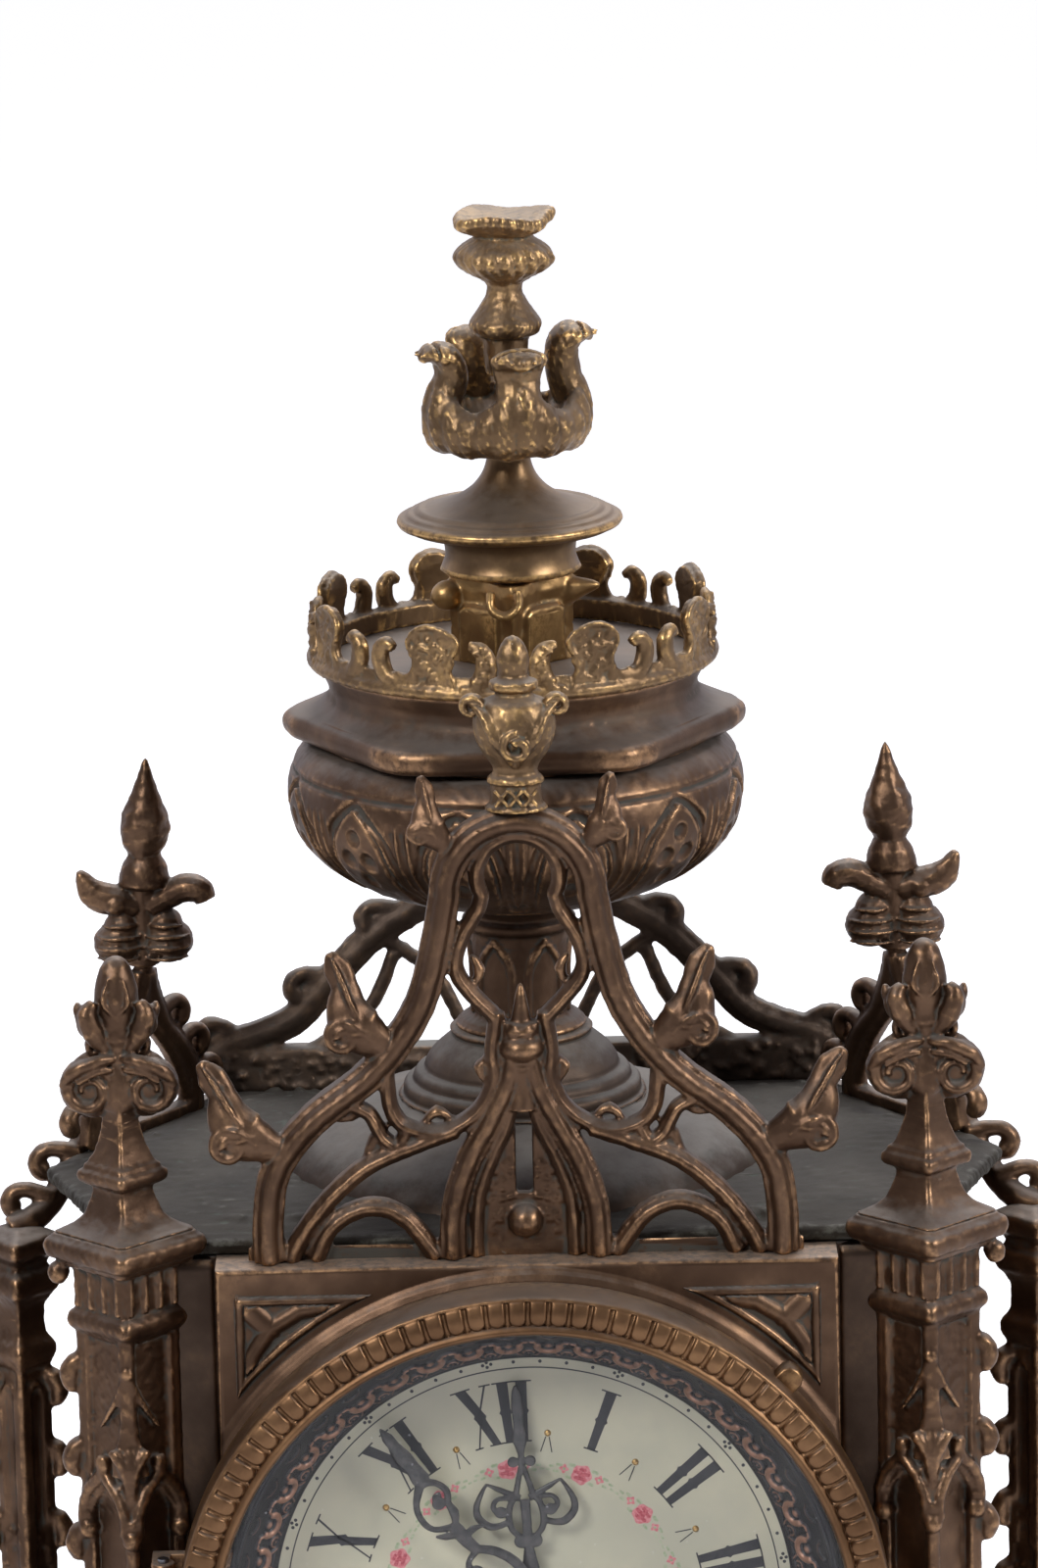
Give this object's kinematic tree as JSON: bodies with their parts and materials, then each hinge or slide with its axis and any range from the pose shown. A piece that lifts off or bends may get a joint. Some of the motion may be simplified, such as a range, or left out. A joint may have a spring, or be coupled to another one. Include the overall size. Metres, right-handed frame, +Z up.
{
  "type": "table clock",
  "caption": "Gothic revival bronze table clock: six-sided buttressed case, openwork gables, urn and crown tower spire, round dial behind a hinged ribbed bezel.",
  "frame": {"origin": "middle of the footprint, on the table under the tower axis", "axes": "+Z up the tower, -Y out of the dial, +X to the viewer's right"},
  "size_m": [0.259, 0.162, 0.5099],
  "materials": {
    "bronze": "dark patinated cast bronze, worn ridges",
    "dark_bronze": "dark dusty patinated bronze",
    "worn_bronze": "golden brown rubbed bronze",
    "movement_brass": "lacquered brass",
    "steel": "turned steel",
    "dial_enamel": "glossy ivory enamel",
    "black_hands": "satin black",
    "glass": "clear"
  },
  "bodies": {
    "case": {"plinth": "bronze", "foot_front_left": "bronze", "foot_front_right": "bronze", "foot_rear_right": "bronze", "foot_rear_left": "bronze", "lower_case": "bronze", "upper_case": "bronze", "front_block": "bronze", "front_column_left": "bronze", "front_column_right": "bronze", "outer_column_left": "bronze", "outer_column_right": "bronze", "rear_column_left": "bronze", "rear_column_right": "bronze", "pinnacle_left": "bronze", "pinnacle_right": "bronze", "front_gable": "bronze", "gable_finial": "worn_bronze", "side_gable_left": "bronze", "side_gable_right": "bronze", "rear_gable": "dark_bronze", "side_finial_left": "bronze", "side_finial_right": "bronze", "roof": "dark_bronze", "dome": "dark_bronze", "tower_neck": "bronze", "urn": "bronze", "hex_plate": "bronze", "crown": "worn_bronze", "turret": "worn_bronze", "saucer": "bronze", "leaf_cup": "worn_bronze", "spire_cap": "worn_bronze", "tie_rod": "steel", "dial": "dial_enamel", "filigree_ring": "dark_bronze", "bezel_hinge_pin": "steel", "front_plate": "movement_brass", "back_plate": "movement_brass", "pillars_and_screws": "movement_brass", "bell": "movement_brass", "door_hinge": "steel"},
    "minute": {"minute_hand": "black_hands", "hand_nut": "movement_brass", "centre_arbor": "movement_brass", "cannon_pinion": "movement_brass"},
    "hour": {"hour_hand": "black_hands", "hour_wheel": "movement_brass"},
    "motion": {"minute_wheel": "movement_brass"},
    "mainspring": {"barrel": "movement_brass"},
    "third": {"third_wheel": "movement_brass"},
    "escape": {"escape_wheel": "movement_brass"},
    "winding": {"winding_arbor": "steel"},
    "swing": {"anchor": "steel", "pendulum": "movement_brass"},
    "striker": {"hammer": "steel"},
    "front_door": {"bezel": "worn_bronze", "glass": "glass"},
    "rear_door": {"back_door": "bronze"},
    "catch": {"door_catch": "movement_brass"}
  },
  "joints": [
    {"name": "minute_turn", "type": "hinge", "parent": "case", "child": "minute", "pos_m": [0, -0.0525, 0.262], "axis": [0, 1, 0], "continuous": true},
    {"name": "hour_turn", "type": "hinge", "parent": "case", "child": "hour", "pos_m": [0, -0.0525, 0.262], "axis": [0, 1, 0], "continuous": true},
    {"name": "motion_turn", "type": "hinge", "parent": "case", "child": "motion", "pos_m": [0.012, -0.0525, 0.262], "axis": [0, 1, 0], "continuous": true},
    {"name": "barrel_turn", "type": "hinge", "parent": "case", "child": "mainspring", "pos_m": [0, -0.0525, 0.2296], "axis": [0, 1, 0], "continuous": true},
    {"name": "third_turn", "type": "hinge", "parent": "case", "child": "third", "pos_m": [-0.01485, -0.0525, 0.27685], "axis": [0, 1, 0], "continuous": true},
    {"name": "escape_turn", "type": "hinge", "parent": "case", "child": "escape", "pos_m": [0.00114, -0.0525, 0.28397], "axis": [0, 1, 0], "continuous": true},
    {"name": "winding_turn", "type": "hinge", "parent": "case", "child": "winding", "pos_m": [0, -0.0525, 0.2296], "axis": [0, 1, 0], "continuous": true},
    {"name": "pendulum_swing", "type": "hinge", "parent": "case", "child": "swing", "pos_m": [0.00114, -0.018, 0.29967], "axis": [0, 1, 0], "range_deg": [-3, 3]},
    {"name": "hammer_lift", "type": "hinge", "parent": "case", "child": "striker", "pos_m": [-0.0082, -0.018, 0.224], "axis": [0, -1, 0], "range_deg": [0, 20], "stiffness_Nm_per_rad": 0.006, "springref_deg": -8.59},
    {"name": "bezel_open", "type": "hinge", "parent": "case", "child": "front_door", "pos_m": [-0.0665, -0.0665, 0.262], "axis": [0, 0, -1], "range_deg": [0, 100]},
    {"name": "door_open", "type": "hinge", "parent": "case", "child": "rear_door", "pos_m": [0.0348, 0.051, 0.262], "axis": [0, 0, -1], "range_deg": [0, 110]},
    {"name": "catch_turn", "type": "hinge", "parent": "rear_door", "child": "catch", "pos_m": [-0.029, 0.051, 0.262], "axis": [0, -1, 0], "range_deg": [0, 90]}
  ],
  "couplings": [
    {"joint": "hour_turn", "follows": "minute_turn", "ratio": 0.083333},
    {"joint": "motion_turn", "follows": "minute_turn", "ratio": -0.33333},
    {"joint": "barrel_turn", "follows": "minute_turn", "ratio": -0.125},
    {"joint": "third_turn", "follows": "minute_turn", "ratio": -6},
    {"joint": "escape_turn", "follows": "minute_turn", "ratio": 36}
  ]
}
